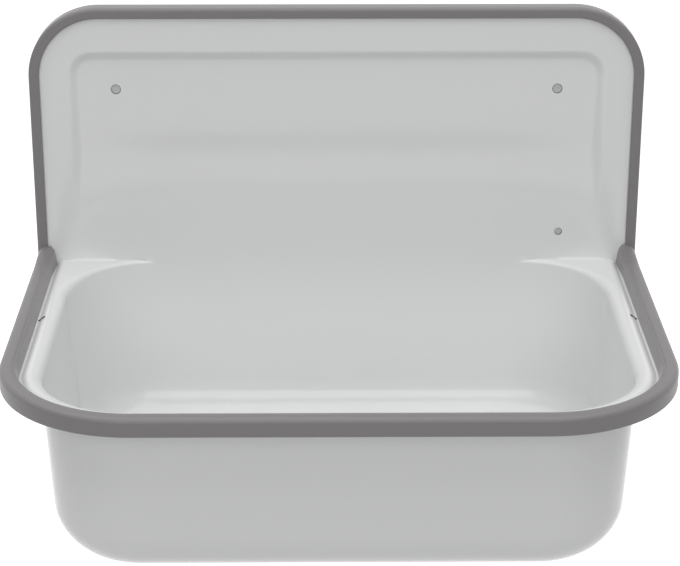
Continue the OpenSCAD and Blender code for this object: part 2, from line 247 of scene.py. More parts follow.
# Places that follow from those sizes
HALF_W = OVERALL_W / 2
CORNER_X = HALF_W - RIM_R  # centres of the rim's front corners
FRONT_Y = RIM_R - OVERALL_D
MOUTH_R = RIM_R - WALL_IN  # radius of the bowl's mouth at its corners
REAR_Y = -BORDER_Y - MOUTH_R  # centres of its rear corners
ROLL_CENTRE = MOUTH_R + ROLL_R
ROLL_EDGE = ROLL_CENTRE + LEVEL
ROLL_START = RIM_R - ROLL_EDGE  # from the outside of the trim to the roll's edge
FOLD_OUTER_X = CORNER_X + ROLL_EDGE
FOLD_INNER_X = CORNER_X + math.sqrt(ROLL_EDGE ** 2 - MOUTH_R ** 2)
SPLASH_X = HALF_W - SPLASH_R  # centres of the splashback's top corners
SPLASH_Z = SPLASH_H - SPLASH_R
FLOOR_Z = SHEET_T - BOWL_H
SLOT_IN = EDGE_COVER - SLOT_GAP
WALL_TOP = (
    ROLL_CENTRE - ROLL_R * math.cos(DRAFT),
    -CREST_DROP - ROLL_R + ROLL_R * math.sin(DRAFT),
)
WALL_RUN = (WALL_TOP[1] - FLOOR_Z - FLOOR_R * (1 - math.sin(DRAFT))) / math.cos(DRAFT)
WALL_FOOT = (WALL_TOP[0] - WALL_RUN * math.sin(DRAFT), WALL_TOP[1] - WALL_RUN * math.cos(DRAFT))
FLOOR_CENTRE = (WALL_FOOT[0] - FLOOR_R * math.cos(DRAFT), WALL_FOOT[1] + FLOOR_R * math.sin(DRAFT))

# Half widths in mm over which bends in the sheet are rounded off, and the samples that this takes
LEDGE_SOFT = 0.9
EDGE_SOFT = 1.0
STEP_SOFT = 1.6
FADE_SOFT = 10
DISH_SOFT = 1.8
SOFT_SAMPLES = 9
STEP_SAMPLES = 13
STEP_REACH = 3  # distance out from the panel's edge beyond which the sheet is flat
FADE_REACH = 12  # distance below the recess's foot beyond which it is flat

# Steps along the meshes, in mm or in steps to an arc
LONG_STEP = 8.0
TRIM_FRONT_STEP = 10.0
FOLD_STEP = 1.5
TONGUE_STEP = 0.5
SPLASH_RING_STEP = 5.0
PANEL_RING_STEP = 4.0
ROLL_STEPS = 16
FLOOR_STEPS = 22
CORNER_STEPS = 40
TRIM_CORNER_STEPS = 48
SPLASH_CORNER_STEPS = 30
PANEL_CORNER_STEPS = 14
HOLE_POINTS = 32
SHADE_RING_POINTS = 48
WASTE_POINTS = 96
WALL_SHARES = (0.04, 0.12, 0.25, 0.4, 0.55, 0.7, 0.85, 1.0)
REAR_SHARES = (0, 0.15, 0.3, 0.45, 0.6, 0.7, 0.8, 0.88, 0.95, 1)
FILLET_SHARES = (0.08, 0.2, 0.36, 0.56, 0.78, 1.0)

# Lines of the meshes: distances from a trim's outside or end, the panel, a hole and the waste's centre
RIM_LINES = [EDGE_COVER, 4, 5, 6, 7, 8, 9, 10, 11, 12, 13, 14, SLIT_OUT, 15.6]
RIM_LINES += [16 + i / 2 for i in range(10)] + [SLIT_IN, 21.8, 22.5, ROLL_START]
BORDER_LINES = (4, 5, 6, 7, 8, 8.8, 9.6, 10.4, 11.2, 12, 13, 14, 15, 16, 17.2, 18.6, 20, 22, 24)
LIP_LINES = (7.9, 7, 6, 5, 4)
END_LINES = (0, 0.6, 1.4, 2.4, 4, 6, 8, 10, 12, 14, 16, 18, 20, 22, 24, 27)
PANEL_LINES = (-2.4, -1.6, -0.8, 0, 0.8, 1.6, 2.4, 3.2, 4, 4.8, 5.6, 6.4, 7.4)
HOLE_LINES = (0.7, 1.5, 3)
DISH_LINES = [26.8, 29, 32, 35, 36.5, 37.5, 38.4, 39.3, 40.2]
DISH_LINES += [41.5, 43, 44.3, 45.2, 46, 46.9, 48, 51, 56, 63]

# Points between those lines, in mm: where they lie, their step, and how far they keep off
LEDGE_FILL_X = (180, 236)
LEDGE_FILL_Y = (-80, -14)
LEDGE_FILL_STEP = 4
LEDGE_FILL_GAP = 2.2
SPLASH_FILL_IN = 26
SPLASH_FILL_STEP = 6
SPLASH_FILL_GAP = 2.5
SPLASH_LOW = 3 - CREST_DROP
PANEL_LOW = PANEL_FOOT - 8
FOOT_FILL_ZS = (-12, -9, -6.5)
HOLE_LINE_GAP = 4.6
HOLE_FILL_GAP = 9
FOLD_GAP = 1.2
FILLET_GAP = 0.6
FLOOR_FILL_X = 170
FLOOR_FILL_OUT = 20
FLOOR_FILL_STEP = 12
FLOOR_FILL_GAP = 6
FLOOR_FILL_R = 60
FLOOR_EDGE_GAP = 4

# Limits of mesh making: degrees from which edges are sharp, mm, and the slope of an upright face
SHARP = 35
TRIM_SHARP = 38
WELD = 0.002
SLIVER = 0.001
CDT_MERGE = 1e-5
TINY = 1e-6
UPRIGHT = 0.9


def camera():
    """The photograph's camera."""
    data = bpy.data.cameras.new("camera")
    data.sensor_width = SENSOR_MM
    data.lens = FOCAL_PX / PHOTO_W_PX * SENSOR_MM
    data.clip_start = NEAR_CLIP
    data.clip_end = FAR_CLIP
    ahead = Vector((
        math.sin(CAM_YAW) * math.cos(CAM_PITCH),
        math.cos(CAM_YAW) * math.cos(CAM_PITCH),
        math.sin(CAM_PITCH),
    ))
    side = ahead.cross(Vector((0, 0, 1))).normalized()
    over = side.cross(ahead)
    right = math.cos(CAM_ROLL) * side + math.sin(CAM_ROLL) * over
    up = right.cross(ahead)
    obj = bpy.data.objects.new("camera", data)
    turn = Matrix((right, up, -ahead)).transposed().to_4x4()
    obj.matrix_world = Matrix.Translation(CAM_POS) @ turn
    scene.collection.objects.link(obj)
    scene.camera = obj


# Curves
def softened(fn, at, half, samples=SOFT_SAMPLES):
    """Mean of a function over a short width, which rounds its corners off."""
    return sum(fn(at + half * (2 * i / (samples - 1) - 1)) for i in range(samples)) / samples


def share(value, start, end):
    """How far a value has come from start to end, from 0 to 1."""
    return min(max((value - start) / (end - start), 0), 1)


def eased(t):
    """A share from 0 to 1 that starts and ends level."""
    t = min(max(t, 0), 1)
    return t * t * (3 - 2 * t)


def arc(centre, r, start, end, steps):
    turns = [math.radians(start + (end - start) * i / steps) for i in range(steps + 1)]
    return [(centre[0] + r * math.cos(turn), centre[1] + r * math.sin(turn)) for turn in turns]


def circle(x, y, r, points):
    turns = [2 * math.pi * i / points for i in range(points)]
    return [(x + r * math.cos(turn), y + r * math.sin(turn)) for turn in turns]


def spread(start, end, step):
    """Evenly spaced values from start to end, about a step apart."""
    n = max(1, round(abs(end - start) / step))
    return [start + (end - start) * i / n for i in range(n + 1)]


def climb(d, start, width, rise):
    """Height above a strip of a curve that leaves it at an angle and ends level."""
    if d <= start:
        return 0.0
    run = width - LEVEL
    r = run / math.sin(2 * math.atan(rise / run))
    left = run - min(d - start, run)
    return rise - r + math.sqrt(r * r - left * left)


def ledge_z(d):
    """Height of the rim's sheet, by the distance in from the outside of its trim."""
    width, rise = ROLL_START - STRIP_IN, STRIP_DROP - CREST_DROP
    return softened(lambda e: climb(e, STRIP_IN, width, rise), d, LEDGE_SOFT) - STRIP_DROP


def edge_y(d):
    """Distance from the wall of the splashback's edge, its rise and its border."""
    def bent(e):
        rise = share(e, EDGE_RISE_START, EDGE_RISE_END)
        slope = share(e, EDGE_RISE_END, EDGE_SLOPE_END)
        return EDGE_Y + (EDGE_TOP_Y - EDGE_Y) * rise + (BORDER_Y - EDGE_TOP_Y) * slope

    return softened(bent, d, EDGE_SOFT)


def fold_out(x):
    """How far the fillet in the fold reaches over the rear ledge."""
    inner = eased((abs(x) - FOLD_INNER_X) / FOLD_INNER_FADE)
    return FOLD_R * inner * eased((FOLD_OUTER_X - abs(x)) / FOLD_OUTER_FADE)


# Meshes
class Sheet:
    """Points in the drawing's mm and the faces over them, welded when made."""

    def __init__(self):
        self.points = []
        self.faces = []

    def grid(self, rows, skip=lambda i, j: False, closed=False):
        """Faces between rows of equally many points."""
        base, wide = len(self.points), len(rows[0])
        for row in rows:
            self.points += [tuple(p) for p in row]
        for i in range(len(rows) - 1):
            for j in range(wide if closed else wide - 1):
                if not skip(i, j):
                    k = (j + 1) % wide
                    a, b = base + i * wide, base + (i + 1) * wide
                    self.faces.append((a + j, a + k, b + k, b + j))

    def caps(self, rows, wide):
        """Faces over the first and the last of the rows, where these are all that the sheet holds."""
        last = (rows - 1) * wide
        self.faces.append(tuple(range(wide)))
        self.faces.append(tuple(last + i for i in reversed(range(wide))))

    def add(self, points, faces):
        base = len(self.points)
        self.points += [tuple(p) for p in points]
        self.faces += [tuple(base + i for i in f) for f in faces]

    def bm(self):
        bm = bmesh.new()
        made = [bm.verts.new((Vector(p) + Vector(PLACE)) * MM) for p in self.points]
        for f in self.faces:
            try:
                bm.faces.new([made[i] for i in f])
            except ValueError:
                # a face that is there already, or has a corner twice
                pass
        bmesh.ops.remove_doubles(bm, verts=bm.verts, dist=WELD * MM)
        bmesh.ops.dissolve_degenerate(bm, edges=bm.edges, dist=SLIVER * MM)
        bmesh.ops.recalc_face_normals(bm, faces=bm.faces)
        return bm


def inside(loop, at):
    """Which of the points lie inside a closed loop."""
    at, loop = np.asarray(at), np.asarray(loop)
    a, b = loop, np.roll(loop, -1, axis=0)
    x, y = at[:, 0, None], at[:, 1, None]
    crosses = (a[:, 1] > y) != (b[:, 1] > y)
    with np.errstate(divide="ignore", invalid="ignore"):
        met = a[:, 0] + (y - a[:, 1]) * (b[:, 0] - a[:, 0]) / (b[:, 1] - a[:, 1])
    return (crosses & (x < met)).sum(axis=1) % 2 == 1


def filled(loops, within, lift):
    """Triangles over the area in the first loop and outside the others.

    lift(a, b, i) gives each point in 3-D. i is the point's number in the loops, or None.
    """
    flat, edges = [], []
    for loop in loops:
        base = len(flat)
        flat += [Vector(p) for p in loop]
        edges += [(base + i, base + (i + 1) % len(loop)) for i in range(len(loop))]
    flat += [Vector(p) for p in within]
    out, _, faces, was, _, _ = delaunay_2d_cdt(flat, edges, [], 0, CDT_MERGE, True)
    mid = np.array([[sum(out[i][k] for i in f) / len(f) for k in (0, 1)] for f in faces])
    keep = inside(loops[0], mid)
    for hole in loops[1:]:
        keep &= ~inside(hole, mid)
    points = [lift(p[0], p[1], ids[0] if ids else None) for p, ids in zip(out, was)]
    return points, [f for f, k in zip(faces, keep) if k]


def thinned(points, kept, gap):
    """Those points that lie more than a gap away from every kept one."""
    kept = np.asarray(kept)
    return [p for p in points if ((kept - p) ** 2).sum(axis=1).min() > gap * gap]


def mirrored(points):
    return [(-x, y, z) for x, y, z in points]


def stood(way, section):
    """A section of (distance out, height) pairs, stood at a way's origin in its direction."""
    (ox, oy), (dx, dy) = way
    return [(ox + dx * r, oy + dy * r, z) for r, z in section]


def way_round(centre, degrees):
    a = math.radians(degrees)
    return centre, (math.cos(a), math.sin(a))


def object_of(bm, name, mat, sharp=SHARP):
    """The object of a mesh. Its edges are sharp from that many degrees on."""
    mesh = bpy.data.meshes.new(name)
    bm.to_mesh(mesh)
    bm.free()
    mesh.materials.append(mat)
    mesh.shade_smooth()
    mesh.set_sharp_from_angle(angle=math.radians(sharp))
    obj = bpy.data.objects.new(name, mesh)
    scene.collection.objects.link(obj)
    return obj


# The pressing's rim and bowl, as sections of (distance out, height) pairs
RIM_SECTION = [(RIM_R - d, ledge_z(d)) for d in RIM_LINES]
BOWL_ROLL = [(ROLL_EDGE, -CREST_DROP)]
BOWL_ROLL += arc((ROLL_CENTRE, -CREST_DROP - ROLL_R), ROLL_R, 90, 180 - math.degrees(DRAFT), ROLL_STEPS)
BOWL_WALL = [
    (WALL_TOP[0] + (WALL_FOOT[0] - WALL_TOP[0]) * t, WALL_TOP[1] + (WALL_FOOT[1] - WALL_TOP[1]) * t)
    for t in WALL_SHARES
]
BOWL_WALL += arc(FLOOR_CENTRE, FLOOR_R, -math.degrees(DRAFT), -90, FLOOR_STEPS)[1:]


def front_ways():
    """Ways of the right half's sections, from the side to the front, and the slit's number there."""
    half = SLIT_W / 2
    slit_ys = [-SLIT_Y + a for a in (half + SLIT_EASE, half, -half, -half - SLIT_EASE)]
    behind = spread(REAR_Y, slit_ys[0], LONG_STEP)[:-1]
    ys = behind + slit_ys + spread(slit_ys[-1], FRONT_Y, LONG_STEP)[1:]
    ways = [((CORNER_X, y), (1.0, 0.0)) for y in ys]
    ways += [way_round((CORNER_X, FRONT_Y), -90 * i / CORNER_STEPS) for i in range(1, CORNER_STEPS + 1)]
    ways += [((x, FRONT_Y), (0.0, -1.0)) for x in spread(CORNER_X, 0, LONG_STEP)[1:]]
    return ways, len(behind) + 1


def roll_at(turn):
    """Radius of the roll into the bowl and its centre's distance out. It tightens towards the rear."""
    r = ROLL_R + (REAR_ROLL_R - ROLL_R) * eased(turn / REAR_ROLL_TURN)
    raised = (ROLL_R - r) * (1 - math.sin(DRAFT))
    return r, WALL_TOP[0] + raised * math.tan(DRAFT) + r * math.cos(DRAFT)


def rear_turns():
    """Angles at which the rear corner's sections stand, with those where the splashback cuts in."""
    cuts = [math.degrees(math.asin(MOUTH_R / reach)) for reach in (ROLL_EDGE, roll_at(90)[1])]
    return sorted({*(90 * i / CORNER_STEPS for i in range(CORNER_STEPS + 1)), *cuts})


def rear_section(turn):
    """The bowl's section at an angle round its rear corner, from where the splashback cuts it off."""
    r, centre = roll_at(turn)
    reach = min(ROLL_EDGE, MOUTH_R / math.sin(math.radians(turn))) if turn else ROLL_EDGE
    end = 180 - math.degrees(DRAFT)
    start = 90.0
    if reach < centre:
        start = min(math.degrees(math.acos(max(-1, (reach - centre) / r))), end)
    wall = centre - r * math.cos(DRAFT)
    top = (max(reach, wall), -CREST_DROP - r + r * math.sin(math.radians(start)))
    return [top] + arc((centre, -CREST_DROP - r), r, start, end, ROLL_STEPS) + BOWL_WALL


def rear_straight():
    """Ways of the right half's sections along the bowl's rear wall."""
    return [((x, REAR_Y), (0.0, 1.0)) for x in spread(CORNER_X, 0, LONG_STEP)[1:]]


def before_splash(row):
    """The row, held in front of the splashback."""
    return [(x, min(y, -BORDER_Y), z) for x, y, z in row]


def bowl_back(half):
    """The bowl's rear corner and wall. Returns the roll's edge on the ledge and that on the splashback."""
    turns = rear_turns()
    ways = [way_round((CORNER_X, REAR_Y), turn) for turn in turns]
    rows = [before_splash(stood(way, rear_section(turn))) for way, turn in zip(ways, turns)]
    cut = math.degrees(math.asin(MOUTH_R / ROLL_EDGE))
    ledge_arc = [row[0] for row, turn in zip(rows, turns) if turn <= cut + TINY]
    top = [row[0] for row, turn in zip(rows, turns) if turn >= cut - TINY]
    straight = [rear_section(90)[0]] * len(BOWL_ROLL) + BOWL_WALL
    for way in rear_straight():
        row = before_splash(stood(way, straight))
        rows.append(row)
        top.append(row[0])
    half.grid(rows)
    return ledge_arc, top


def rim_and_bowl(half, ways, slit):
    """The rim with its slit and the bowl's sides and front."""
    slit_lines = range(RIM_LINES.index(SLIT_OUT), RIM_LINES.index(SLIT_IN))
    rows = [stood(way, RIM_SECTION) for way in ways]
    front_edge = rows[slit + 1]
    for j in slit_lines[1:]:
        x, y, z = front_edge[j]
        front_edge[j] = (x, y, z - SLIT_DIP)
    half.grid(rows, skip=lambda i, j: i == slit and j in slit_lines)
    half.grid([stood(way, BOWL_ROLL + BOWL_WALL) for way in ways])


def rear_rim(half):
    """The rim from the bowl's rear corner to the fold."""
    lines = [(d, z) for d, (_, z) in zip(RIM_LINES, RIM_SECTION)]
    rows = []
    for t in REAR_SHARES:
        rows.append([(HALF_W - d, REAR_Y + (-edge_y(d) - REAR_Y) * t, z) for d, z in lines])
    half.grid(rows)


def rear_ledge(half, ledge_arc, fold_x):
    """The flat ledge between the rim, the rear corner's roll and the fold. Returns its line in the fold."""
    side = [(ROLL_EDGE + CORNER_X, REAR_Y + (-BORDER_Y - REAR_Y) * t, -CREST_DROP) for t in REAR_SHARES]
    line = [(x, -BORDER_Y - fold_out(x), -CREST_DROP) for x in spread(side[-1][0], fold_x, FOLD_STEP)]
    loop = [(x, y) for x, y, _ in side[:-1] + line[:-1] + list(reversed(ledge_arc))[:-1]]
    ys = spread(*LEDGE_FILL_Y, LEDGE_FILL_STEP)
    box = [(x, y) for x in spread(*LEDGE_FILL_X, LEDGE_FILL_STEP) for y in ys]
    within = [p for p, k in zip(box, inside(loop, box)) if k]
    within = thinned(within, loop, LEDGE_FILL_GAP)
    half.add(*filled([loop], within, lambda x, y, i: (x, y, -CREST_DROP)))
    return line


# The pressing's splashback
def corner_inset(x, z, half, top, r):
    """Distance in from the edge of an upright panel with two round corners."""
    x = abs(x)
    if x > half - r and z > top - r:
        return r - math.hypot(x - (half - r), z - (top - r))
    return min(half - x, top - z)


def panel_depth(x, z):
    """Depth of the recessed panel, which runs out towards the foot."""
    inset = corner_inset(x, z, PANEL_W / 2, SPLASH_H - PANEL_DROP, PANEL_R)
    if inset < -STEP_REACH or z < PANEL_FOOT - FADE_REACH:
        return 0.0
    deep = softened(lambda h: PANEL_RECESS * share(h, PANEL_FOOT, PANEL_FADE), z, FADE_SOFT)
    slope = PANEL_RECESS / PANEL_STEP
    return softened(lambda e: min(max(e * slope, 0), deep), inset, STEP_SOFT, STEP_SAMPLES)


def splash_point(x, z):
    """The point on the splashback's face at a place and a height."""
    above = share(z, -CREST_DROP, FOLD_R - CREST_DROP)
    fillet = fold_out(x) * (1 - math.sqrt(1 - (1 - above) ** 2))
    edge = edge_y(corner_inset(x, z, HALF_W, SPLASH_H, SPLASH_R))
    return (x, -edge + panel_depth(x, z) - fillet, z)


def upright_ring(half, top, r, low, step, steps):
    """Points up, over and down an upright panel, from its right side to its left. Both ends are at low."""
    cx, cz = half - r, top - r
    ring = [(half, z) for z in spread(low, cz, step)] + arc((cx, cz), r, 0, 90, steps)[1:]
    ring += [(x, top) for x in spread(cx, -cx, step)[1:]] + arc((-cx, cz), r, 90, 180, steps)[1:]
    return ring + [(-half, z) for z in spread(cz, low, step)[1:]]


def splash_ring(d, low):
    """A line on the splashback at a distance in from the outside of its trim."""
    return upright_ring(HALF_W - d, SPLASH_H - d, SPLASH_R - d, low, SPLASH_RING_STEP, SPLASH_CORNER_STEPS)


def panel_ring(e):
    """A line on the splashback at a distance in from the panel's edge."""
    half, top = PANEL_W / 2 - e, SPLASH_H - PANEL_DROP - e
    return upright_ring(half, top, PANEL_R - e, PANEL_LOW, PANEL_RING_STEP, PANEL_CORNER_STEPS)


def splash_within(fold):
    """Points inside the splashback's outline: on its steps, round its holes, over the rest, in the fold."""
    lines = [p for d in BORDER_LINES for p in splash_ring(d, SPLASH_LOW)]
    lines += [p for e in PANEL_LINES for p in panel_ring(e)]
    xs = spread(-HALF_W + SPLASH_FILL_IN, HALF_W - SPLASH_FILL_IN, SPLASH_FILL_STEP)
    zs = spread(SPLASH_LOW, SPLASH_H - SPLASH_FILL_IN, SPLASH_FILL_STEP)
    rest = [(x, z) for x in xs for z in zs]
    rest += [(x, z) for x in spread(-CORNER_X, CORNER_X, LONG_STEP) for z in FOOT_FILL_ZS]
    centres = [(x, z) for x, z, _ in WALL_HOLES]
    points = thinned(lines, centres, HOLE_LINE_GAP)
    for x, z, r in WALL_HOLES:
        for more in HOLE_LINES:
            points += circle(x, z, r + more, HOLE_POINTS)
    points += thinned(thinned(rest, lines, SPLASH_FILL_GAP), centres, HOLE_FILL_GAP)
    bottom = np.array(sorted((x, z) for x, _, z in fold))
    points = [p for p in points if p[1] > np.interp(p[0], bottom[:, 0], bottom[:, 1]) + FOLD_GAP]
    fillet = []
    for x in spread(FOLD_INNER_X, FOLD_OUTER_X, FOLD_STEP):
        for side in (1, -1):
            fillet += [(side * x, h * FOLD_R - CREST_DROP) for h in FILLET_SHARES]
    return thinned(points, fillet, FILLET_GAP) + fillet


def splash(sheet, fold):
    """The splashback's sheet. fold is its bottom line, from right to left, in 3-D."""
    outline = splash_ring(EDGE_COVER, ledge_z(EDGE_COVER))
    back = list(reversed(fold))[:-1]
    loop = outline[:-1] + [(x, z) for x, _, z in back]
    held = {len(outline) - 1 + i: point for i, point in enumerate(back)}
    held[0] = fold[0]
    holes = [circle(x, z, r, HOLE_POINTS) for x, z, r in WALL_HOLES]

    def lift(x, z, i):
        return held[i] if i in held else splash_point(x, z)

    sheet.add(*filled([loop] + holes, splash_within(fold), lift))


# The pressing's floor
def floor_outline(ways):
    """The line all round where the floor radius ends."""
    rear = [way_round((CORNER_X, REAR_Y), turn) for turn in rear_turns()][1:]
    ways = list(reversed(ways)) + rear + rear_straight()
    right = [stood(way, [(BOWL_WALL[-1][0], FLOOR_Z)])[0] for way in ways]
    return right[:-1] + list(reversed(mirrored(right)))[:-1]


def floor_sheet(sheet, outline):
    """The bowl's floor with the dish round its waste hole."""
    def lift(x, y, i):
        out = math.hypot(x, y + WASTE_Y)
        dish = softened(lambda q: share(DISH_R - q, 0, DISH_STEP) * DISH_H, out, DISH_SOFT)
        return (x, y, FLOOR_Z - dish)

    loop = [(x, y) for x, y, _ in outline]
    rings = [p for r in DISH_LINES for p in circle(0, -WASTE_Y, r, WASTE_POINTS)]
    xs = spread(-FLOOR_FILL_X, FLOOR_FILL_X, FLOOR_FILL_STEP)
    ys = spread(FRONT_Y - FLOOR_FILL_OUT, REAR_Y + FLOOR_FILL_OUT, FLOOR_FILL_STEP)
    flat = thinned([(x, y) for x in xs for y in ys], rings, FLOOR_FILL_GAP)
    flat = [p for p, k in zip(flat, inside(loop, flat)) if k]
    flat = thinned(flat, [(0, -WASTE_Y)], FLOOR_FILL_R)
    points = thinned(rings + flat, loop, FLOOR_EDGE_GAP)
    sheet.add(*filled([loop, circle(0, -WASTE_Y, WASTE_R, WASTE_POINTS)], points, lift))


def face_forwards(bm):
    """Turns all faces over if the splashback's look at the wall."""
    upright = [f for f in bm.faces if abs(f.normal.y) > UPRIGHT]
    highest = max(upright, key=lambda f: f.calc_center_median().z)
    if highest.normal.y > 0:
        bmesh.ops.reverse_faces(bm, faces=bm.faces)


def thickened(obj):
    """Gives the enamelled surface the sheet's thickness behind it."""
    solidify = obj.modifiers.new("sheet", "SOLIDIFY")
    solidify.thickness = SHEET_T * MM
    solidify.offset = -1
    solidify.use_even_offset = True
    graph = bpy.context.evaluated_depsgraph_get()
    solid = bpy.data.meshes.new_from_object(obj.evaluated_get(graph))
    obj.modifiers.clear()
    obj.data = solid
    solid.name = "pressing"
    solid.shade_smooth()
    solid.set_sharp_from_angle(angle=math.radians(SHARP))


def pressing(mat):
    """The one sheet of bowl, ledge and splashback. Rim and bowl are a right half and its mirror image."""
    half = Sheet()
    ways, slit = front_ways()
    rim_and_bowl(half, ways, slit)
    rear_rim(half)
    ledge_arc, top = bowl_back(half)
    line = rear_ledge(half, ledge_arc, top[0][0])
    sheet = Sheet()
    sheet.add(half.points, half.faces)
    sheet.add(mirrored(half.points), [tuple(reversed(f)) for f in half.faces])

    fold = [(HALF_W - d, -edge_y(d), z) for d, (_, z) in zip(RIM_LINES, RIM_SECTION)]
    fold += line[1:] + top[1:]
    fold += list(reversed(mirrored(fold)))[1:]
    splash(sheet, fold)
    floor_sheet(sheet, floor_outline(ways))

    bm = sheet.bm()
    face_forwards(bm)
    obj = object_of(bm, "pressing", mat)
    thickened(obj)
    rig.replaces(obj, "sink_pressing")
    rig.slot(obj, "enamel")
    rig.ride(obj, "root")


# Painted shade where the sheet is cut: dark rings in the wall holes and dark tongues under the slits
def hole_edges(mat):
    """A thin ring on the cut edge of each wall hole, painted dark as the shade in the hole."""
    section = ((0, SHADE_RING_REAR), (SHADE_RING_IN, SHADE_RING_REAR), (SHADE_RING_IN, SHADE_RING_INNER_FRONT), (0, SHADE_RING_FRONT))
    for i, (x, z, r) in enumerate(WALL_HOLES):
        front = [splash_point(px, pz) for px, pz in circle(x, z, r, SHADE_RING_POINTS)]
        rows = []
        for inward, back in section:
            scale = (r - inward) / r
            rows.append([(x + (px - x) * scale, py + back, z + (pz - z) * scale) for px, py, pz in front])
        sheet = Sheet()
        sheet.grid(rows + rows[:1], closed=True)
        obj = object_of(sheet.bm(), f"hole_edge_{i}", mat)
        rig.slot(obj, "enamel")
        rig.ride(obj, "root")


def slit_lips(mat):
    """The tongue turned down at the rear of each slit, a little longer than the slit. It is painted dark as the shade
    in the slit.
    """
    edge_at = -SLIT_Y + SLIT_W / 2
    lines = spread(SLIT_OUT - TONGUE_PAST_OUT, SLIT_IN + TONGUE_PAST_IN, TONGUE_STEP)
    section = (
        (-TONGUE_PROUD, TONGUE_FRONT_TOP),
        (-TONGUE_PROUD, TONGUE_DROP),
        (TONGUE_BACK, TONGUE_DROP),
        (TONGUE_BACK, TONGUE_BACK_TOP),
    )
    for side, name in ((1, "right"), (-1, "left")):
        rows = []
        for d in lines:
            x, z = side * (HALF_W - d), ledge_z(d)
            rows.append([(x, edge_at + back, z - drop) for back, drop in section])
        sheet = Sheet()
        sheet.grid(rows, closed=True)
        sheet.caps(len(rows), len(section))
        obj = object_of(sheet.bm(), f"slit_tongue_{name}", mat)
        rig.slot(obj, "enamel")
        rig.ride(obj, "root")


# The edge trims
def rim_trim_section():
    """The rim trim's section as (distance in, height), with its groove, bead, lip and the sheet's slot."""
    top, foot, h, r = RIM_TRIM_TOP, RIM_TRIM_W, RIM_TRIM_H, RIM_TRIM_R
    heel = RIM_TRIM_HEEL_R
    sheet_z = -STRIP_DROP - SHEET_T
    outside = arc((heel, -h + heel), heel, 270, 180, steps=5) + arc((r, -r), r, 180, 90, steps=12)
    crown = [(5.5, 0.06), (7.2, 0.08), (8.6, 0.0), (top - 1.6, -0.12)]
    groove = [(top - 1.0, -0.42), (top - 0.6, -0.8), (top - 0.25, -0.86)]
    bead = [(top + 0.2, -0.72), (top + 0.6, -0.78), (top + 1.0, -1.1), (top + 1.5, -2.0), (top + 2.1, -4.0)]
    lip = [(foot - 0.75, -6.8), (foot - 0.3, -8.6), (foot - 0.05, -9.6), (foot, -STRIP_DROP)]
    slot = [(SLOT_IN, -STRIP_DROP), (SLOT_IN, sheet_z), (foot - 4, sheet_z)]
    underside = [(foot - 4.2, sheet_z - 0.8), (foot - 5.2, -h + 0.2), (foot - 6, -h)]
    return outside + crown + groove + bead + lip + slot + underside


def swollen(d, z, near):
    """Height of a point of the rim trim's section near an end, which swells and loses its groove."""
    if near <= 0 or z < -STRIP_DROP + BULGE_FOOT:
        return z
    ease = eased(near)
    if GROOVE_START < d < GROOVE_END:
        filling = GROOVE_FILL_Z - GROOVE_FILL_FALL * ((d - GROOVE_START) / GROOVE_FILL_W) ** 2
        z += ease * (filling - z)
    across = max(0.0, 1 - ((d - BULGE_MIDDLE) / BULGE_HALF_W) ** 2) ** BULGE_POWER
    return z + END_BULGE * ease * across * (z + STRIP_DROP) / STRIP_DROP


def trim_mesh(rows):
    """A solid through rows of one closed section, which run from a right end to the middle."""
    rows = rows + [mirrored(row) for row in reversed(rows[:-1])]
    sheet = Sheet()
    sheet.grid(rows, closed=True)
    sheet.caps(len(rows), len(rows[0]))
    return sheet.bm()


def rim_trim(mat):
    """The push-on profile round the bowl's rim. Its ends stand against the splashback's trim and border."""
    section = rim_trim_section()
    end_y = -SPLASH_TRIM_D
    ys = [end_y - t for t in END_LINES]
    ys += spread(ys[-1], FRONT_Y, LONG_STEP)[1:]
    rows = []
    for y in ys:
        near = max(0.0, 1 - (end_y - y) / END_BULGE_L)
        row = []
        for d, z in section:
            beside = d > SPLASH_TRIM_W
            x = HALF_W - d - END_SPREAD * near * beside
            row.append((x, -edge_y(d) if beside and y == end_y else y, swollen(d, z, near)))
        rows.append(row)
    turns = [-90 * i / TRIM_CORNER_STEPS for i in range(1, TRIM_CORNER_STEPS + 1)]
    ways = [way_round((CORNER_X, FRONT_Y), turn) for turn in turns]
    ways += [((x, FRONT_Y), (0.0, -1.0)) for x in spread(CORNER_X, 0, TRIM_FRONT_STEP)[1:]]
    rows += [stood(way, [(RIM_R - d, z) for d, z in section]) for way in ways]
    obj = object_of(trim_mesh(rows), "rim_edge", mat, TRIM_SHARP)
    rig.replaces(obj, "rim_trim")
    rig.slot(obj, "trim")
    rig.ride(obj, "root")


def splash_trim_section():
    """The splashback trim's section as (distance in, distance from the wall). Its lip follows the sheet."""
    w, d, r = SPLASH_TRIM_W, SPLASH_TRIM_D, SPLASH_TRIM_R
    heel, lip, bevel = SPLASH_HEEL_R, SPLASH_LIP_R, SPLASH_HEEL_BEVEL
    section = arc((heel, heel), heel, 270, 180, steps=4) + arc((r, d - r), r, 180, 90, steps=12)
    section += arc((w - lip, d - lip), lip, 90, 0, steps=6)
    section += [(a, edge_y(a)) for a in (w, *LIP_LINES, SLOT_IN)]
    return section + [(SLOT_IN, EDGE_Y - SHEET_T), (w, EDGE_Y - SHEET_T), (w, bevel), (w - bevel, 0)]


def splash_trim(mat):
    """The push-on profile over the splashback's sides and top."""
    section = [(SPLASH_R - a, b) for a, b in splash_trim_section()]
    ways = [((SPLASH_X, z), (1.0, 0.0)) for z in spread(-RIM_TRIM_H, SPLASH_Z, LONG_STEP)]
    ways += [way_round((SPLASH_X, SPLASH_Z), 90 * i / CORNER_STEPS) for i in range(1, CORNER_STEPS + 1)]
    ways += [((x, SPLASH_Z), (0.0, 1.0)) for x in spread(SPLASH_X, 0, TRIM_FRONT_STEP)[1:]]
    rows = [[(x, -b, z) for x, z, b in stood(way, section)] for way in ways]
    obj = object_of(trim_mesh(rows), "splash_edge", mat, TRIM_SHARP)
    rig.replaces(obj, "splashback_trim")
    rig.slot(obj, "trim")
    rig.ride(obj, "root")


